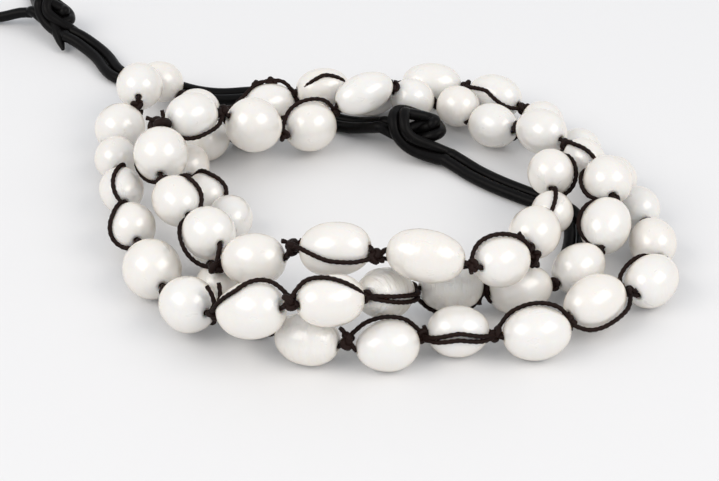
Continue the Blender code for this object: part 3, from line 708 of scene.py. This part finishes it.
# Where each side cord lies: the angle round its pearl at the start, the middle and the far end, in degrees, with 0 on
# top and 90 on the outside of the loop, and the number of strands
SIDE_CORDS = {
    # pearl: (start, middle, end, strands)
    3: (0, -14, -60, 1),
    9: (-36, -26, -12, 1),
    10: (74, 66, 76, 2),
    11: (-60, -40, 0, 1),
    12: (132, 112, 95, 1),
    13: (-90, -70, -60, 1),
    19: (-80, -52, -55, 1),
    22: (-30, -24, -45, 1),
    23: (28, 34, 18, 1),
    29: (-25, 8, 40, 1),
    30: (10, 50, 130, 1),
    33: (44, 14, -60, 1),
    34: (-34, 8, 50, 1),
    35: (80, 80, 80, 2),
    36: (160, 165, 170, 1),
    39: (-72, -75, -80, 1),
    40: (-105, -93, -85, 1),
    41: (-15, -30, -36, 1),
    47: (-10, 20, 52, 1),
    49: (-98, -109, -132, 1),
    50: (140, 125, 150, 1),
    51: (-60, -42, -82, 1),
    52: (60, 100, 172, 1),
    54: (50, 76, 84, 1),
    56: (-62, -8, 40, 1),
    58: (18, 8, 0, 1),
    59: (150, 85, 60, 1),
}


def hidden_angle(i):
    """Where a cord lies that has slid off the top of its pearl: low down, on the side towards +Y."""
    turn = pearl_turn(i)
    away = turn.transposed() @ Vector((0, 0.62, -0.78))
    return math.degrees(math.atan2(away.y, away.x))


def pulled_tight(places):
    """The upper hull of places along a pearl: what a taut cord touches."""
    hull = []
    for place in places:
        while len(hull) > 1 and ((hull[-1][0] - hull[-2][0]) * (place[1] - hull[-2][1])
                                 >= (hull[-1][1] - hull[-2][1]) * (place[0] - hull[-2][0])):
            hull.pop()
        hull.append(place)
    return np.array(hull)


def side_cord(i, angles, shift):
    """Points of a cord from knot to knot over pearl i, pulled tight; shift moves it sideways along the surface."""
    turn = pearl_turn(i)
    middle = Vector(pearl_ends[i].mean(axis=0))
    half = PEARLS[i][0] * PEARL_LENGTH / 2
    first = Vector(knot_places[i - 1] if i > 0 else pearl_ends[i, 0])
    last = Vector(knot_places[i] if i < len(PEARLS) - 1 else pearl_ends[i, 1])
    reach = [((knot - middle) @ turn.col[2], knot) for knot in (first, last)]
    surface = pearl_surfaces[0 if i < SECOND_STRAND_FROM else 1]
    heights = np.linspace(-half, half, 41)[1:-1]
    stations = np.interp(heights, [-half, 0, half], np.radians(angles))
    bow = (1 - (heights / half) ** 2) * math.radians(angles[1] - (angles[0] + angles[2]) / 2) * 0.25
    stations = stations + bow
    places = [(reach[0][0], KNOT_SIZE * KNOT_SEAT)]
    for height, station in zip(heights, stations):
        outward = turn @ Vector((math.cos(station), math.sin(station), 0))
        start = middle + turn.col[2] * height
        hit = surface.ray_cast(start, outward, SURFACE_REACH)
        if hit[0] is not None:
            places.append((height, (hit[0] - start).length + LINEN_DIAMETER * CORD_SEAT))
    places.append((reach[1][0], KNOT_SIZE * KNOT_SEAT))
    hull = pulled_tight(places)
    along = np.linspace(reach[0][0], reach[1][0], 33)
    radius = np.interp(along, hull[:, 0], hull[:, 1])
    for _ in range(2):
        radius[1:-1] = (radius[:-2] + radius[1:-1] * 2 + radius[2:]) / 4
    station = np.interp(along, heights, stations)
    share = (along - along[0]) / (along[-1] - along[0])
    line = []
    for z, r, a, s in zip(along, radius, station, share):
        a += shift * math.sin(math.pi * s) ** 0.5 / max(r, 0.001)
        point = middle + turn.col[2] * z + turn @ Vector((math.cos(a), math.sin(a), 0)) * r
        off = (first - middle - turn.col[2] * reach[0][0]) * (1 - s) ** 4
        off += (last - middle - turn.col[2] * reach[1][0]) * s**4
        line.append(point + off)
    return line


def linen_curve(name, lines):
    """A curve with one spline for each line of places, or of places with a share of the full thickness."""
    curve = bpy.data.curves.new(name, "CURVE")
    curve.dimensions = "3D"
    for line in lines:
        spline = curve.splines.new("POLY")
        spline.points.add(len(line) - 1)
        for point, place in zip(spline.points, line):
            point.co = (*place[:2], max(place[2], LINEN_DIAMETER * LINEN_LIFT), 1)
            point.radius = place[3] if len(place) > 3 else 1.0
    source = bpy.data.objects.new(name, curve)
    bpy.context.collection.objects.link(source)
    return source


def dress_linen(piece):
    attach(piece, "root")


cords = []
for i in range(len(PEARLS)):
    under = hidden_angle(i)
    start, middle, end, strands = SIDE_CORDS.get(i, (under, under, under, 1))
    shifts = (0.0,) if strands == 1 else (-LINEN_DIAMETER * PAIR_SHIFT, LINEN_DIAMETER * PAIR_SHIFT)
    cords += [side_cord(i, (start, middle, end), shift) for shift in shifts]
dress_linen(linen_rule.build("side_cords", linen_curve("side cord lines", cords)))

# The string's thread
# The same waxed linen, a little thicker. It runs through the drilled pearls from hole to hole, and from the string's
# two ends to the leather that they are tied to.
THREAD_DIAMETER = LINEN_DIAMETER * 1.1
THREAD_INSET = 0.15  # how far the thread goes into each hole, as a share of the way to the pearl's middle
START_TIE = [(-0.0099, 0.0312, 0.0013), (-0.0112, 0.0298, 0.0022)]
END_TIE = [(0.0276, 0.0101, 0.0072), (0.0285, 0.0096, 0.0046), (0.0289, 0.0088, 0.0027)]
threads = []
for i in range(len(PEARLS) - 1):
    before, after = Vector(pearl_ends[i, 1]), Vector(pearl_ends[i + 1, 0])
    inward = (Vector(pearl_ends[i].mean(axis=0)) - before) * THREAD_INSET
    onward = (Vector(pearl_ends[i + 1].mean(axis=0)) - after) * THREAD_INSET
    threads.append([before + inward, before, Vector(knot_places[i]), after, after + onward])
threads.append([Vector(p) - PEARLS_MIDDLE for p in START_TIE] + [Vector(pearl_ends[0, 0])])
threads.append([Vector(pearl_ends[-1, 1])] + [Vector(p) - PEARLS_MIDDLE for p in END_TIE])
dress_linen(linen_rule.build("string_thread", linen_curve("thread lines", threads), Thickness=THREAD_DIAMETER))

# The knots in the string
# An overhand knot of the same thread, drawn up tight, keeps each pearl from the next. It is modelled as a closed
# loop with three lobes, and a few more of them sit in the side cords.
knot_rule = Rule("string knots", {"Knot Radius": KNOT_SIZE / 2, "Thickness": THREAD_DIAMETER, "Steps": 42,
                                  "Sides": 8, "Material": linen})
tube_radius = knot_rule["Thickness"] / 2.0
loop = knot_rule.node("GeometryNodeCurvePrimitiveCircle", Resolution=knot_rule["Steps"], Radius=1.0)
round_once = knot_rule.node("GeometryNodeSplineParameter") * math.tau
lobe = (knot_rule["Knot Radius"] - tube_radius) / 3.0
trefoil = knot_rule.vector((round_once.math("SINE") + (round_once * 2.0).math("SINE") * 2.0) * lobe,
                           (round_once.math("COSINE") - (round_once * 2.0).math("COSINE") * 2.0) * lobe,
                           (round_once * 3.0).math("SINE") * lobe * -1.3)
tied = knot_rule.node("GeometryNodeSetPosition", Geometry=loop, Position=trefoil)
cut = knot_rule.node("GeometryNodeCurvePrimitiveCircle", Resolution=knot_rule["Sides"], Radius=tube_radius)
lump = knot_rule.node("GeometryNodeCurveToMesh", Curve=tied, Profile_Curve=cut, Fill_Caps=False)
knot_rule.finish(knot_rule.node("GeometryNodeInstanceOnPoints", Points=knot_rule["Geometry"], Instance=lump,
                                Rotation=knot_rule.attribute("turn", "QUATERNION"),
                                Scale=knot_rule.attribute("scale", "FLOAT_VECTOR")))

KNOT_LIFT = 0.62  # least height of a knot's middle above the floor, as a share of KNOT_SIZE
# How much larger than the common knot, where it can be seen
KNOT_SCALES = {8: 1.2, 9: 1.1, 10: 1.1, 32: 1.0, 33: 1.2, 48: 1.1, 49: 1.7, 52: 1.2, 53: 1.15, 54: 1.1, 55: 0.9}
# Further knots in the side cords: the knot beside them, across and up as seen from the front, in millimetres, and size
SIDE_KNOTS = [
    (22, -3.6, 2.0, 0.9), (22, -5.7, 1.7, 0.9),
    (56, 0.5, 0.2, 0.9), (56, 1.3, -0.8, 0.9), (56, 1.2, -1.9, 0.8),
]
chance = np.random.default_rng(5)
mesh = bpy.data.meshes.new("knot points")
beside = [knot_places[gap] + (np.array((across, 0, 0)) + np.array(view_up) * up) / 1000
          for gap, across, up, _ in SIDE_KNOTS]
mesh.from_pydata([(*p[:2], max(p[2], KNOT_SIZE * KNOT_LIFT)) for p in [*knot_places, *beside]], [], [])
turns, scales = [], []
for i, place in enumerate(knot_places):
    along = Vector(pearl_ends[i + 1, 0] - pearl_ends[i, 1]).normalized()
    roll = Quaternion((0, 0, 1), chance.uniform(0, math.tau))
    lean = Quaternion((1, 0, 0), math.radians(chance.uniform(-25, 25)))
    turns.append(list(along.to_track_quat("Z", "Y") @ lean @ roll))
    scale = KNOT_SCALES.get(i, chance.uniform(0.85, 1.05))
    scales.append((scale, scale, scale * chance.uniform(0.95, 1.15)))
for _, _, _, scale in SIDE_KNOTS:
    turns.append(list(Quaternion((1, 0, 0), chance.uniform(0, math.tau))))
    scales.append((scale, scale, scale))
mesh.attributes.new("turn", "QUATERNION", "POINT").data.foreach_set("value", np.ravel(turns))
mesh.attributes.new("scale", "FLOAT_VECTOR", "POINT").data.foreach_set("vector", np.ravel(scales))
knot_points = bpy.data.objects.new("knot points", mesh)
bpy.context.collection.objects.link(knot_points)
dress_linen(knot_rule.build("string_knots", knot_points))

# The trimmed ends
# Short stiff ends of waxed linen, cut off close to the knots that they stand out of, each drawn to a point.
TRIMMED_ENDS = [
    # knot, and how far the end reaches across and up as seen from the front, in millimetres
    (8, -1.0, 1.7), (9, 0.1, 1.4), (10, 1.3, -0.4), (12, 1.0, 0.3), (32, -0.9, -0.2), (32, -0.9, 3.6),
    (32, 0.7, 4.0), (33, -0.9, -0.8), (33, 0.6, -0.9), (36, -0.8, -2.2), (36, 0.9, -1.9), (36, 0.9, 0.2),
    (37, 1.0, 0.5), (38, 0.6, 0.6), (43, -1.6, -1.2), (52, 0.7, 1.1), (53, -1.4, 0.8), (53, 1.3, 1.0),
    (53, -0.6, -1.4), (54, -0.7, 1.0), (54, 1.1, 0.8), (54, 1.1, -0.5), (55, -0.2, -1.1), (56, -0.9, 2.3),
    (56, 0.9, 0.9), (57, 0.2, 1.0), (20, 0.1, 1.0), (26, 0.6, 0.5), (45, 0.5, 0.9), (6, 0.8, 0.8), (16, 0.9, -0.5),
    (49, -2.0, 1.3), (49, 0.3, 2.4), (49, -1.8, -1.6), (49, 1.6, -1.4), (22, 0.9, 0.3), (22, -1.2, 0.8),
]
ends = []
for gap, across, up in TRIMMED_ENDS:
    root = Vector(knot_places[gap])
    out = (Vector((1, 0, 0)) * across + view_up * up + view_back * 0.5) / 1000
    bent = out.cross(view_back).normalized() * out.length * 0.12
    ends.append([(*(root + out * s + bent * math.sin(math.pi * s)), 1.5 - 1.0 * s**2) for s in np.linspace(0, 1, 9)])
dress_linen(linen_rule.build("trimmed_ends", linen_curve("trimmed end lines", ends)))

# The floor and the light
# A matt white sweep, and a soft warm light high in front on each side, in a cool white room.
paper, tree, shader = new_material("white paper")
shader.inputs["Base Color"].default_value = (0.815, 0.815, 0.82, 1)
shader.inputs["Roughness"].default_value = 0.75
bpy.ops.mesh.primitive_plane_add(size=6)
floor = bpy.context.object
floor.name = "floor"
floor.data.materials.append(paper)

PANEL_REACH = 0.85
PANEL_SIZE = (0.62, 0.46)
PANEL_POWER = 2.3


def soft_panel(name, side):
    """A soft panel that hangs high in front on one side and faces the pearls."""
    middle = Vector((side * 0.64, -0.34, 0.69)).normalized()
    along = Vector((side * 0.34, 0.64, 0.0))
    along = (along - middle * along.dot(middle)).normalized()
    light = bpy.data.lights.new(name, "AREA")
    light.shape = "RECTANGLE"
    light.size, light.size_y = PANEL_SIZE
    light.energy = PANEL_POWER
    light.color = (1.0, 0.935, 0.86)
    panel = bpy.data.objects.new(name, light)
    panel.rotation_euler = Matrix((along, middle.cross(along), middle)).transposed().to_euler()
    panel.location = middle * PANEL_REACH
    bpy.context.collection.objects.link(panel)


soft_panel("left panel", -1)
soft_panel("right panel", 1)
world = bpy.data.worlds.new("studio")
bpy.context.scene.world = world
world.use_nodes = True
world.node_tree.nodes["Background"].inputs["Color"].default_value = (0.925, 0.955, 1.0, 1)
world.node_tree.nodes["Background"].inputs["Strength"].default_value = 0.78
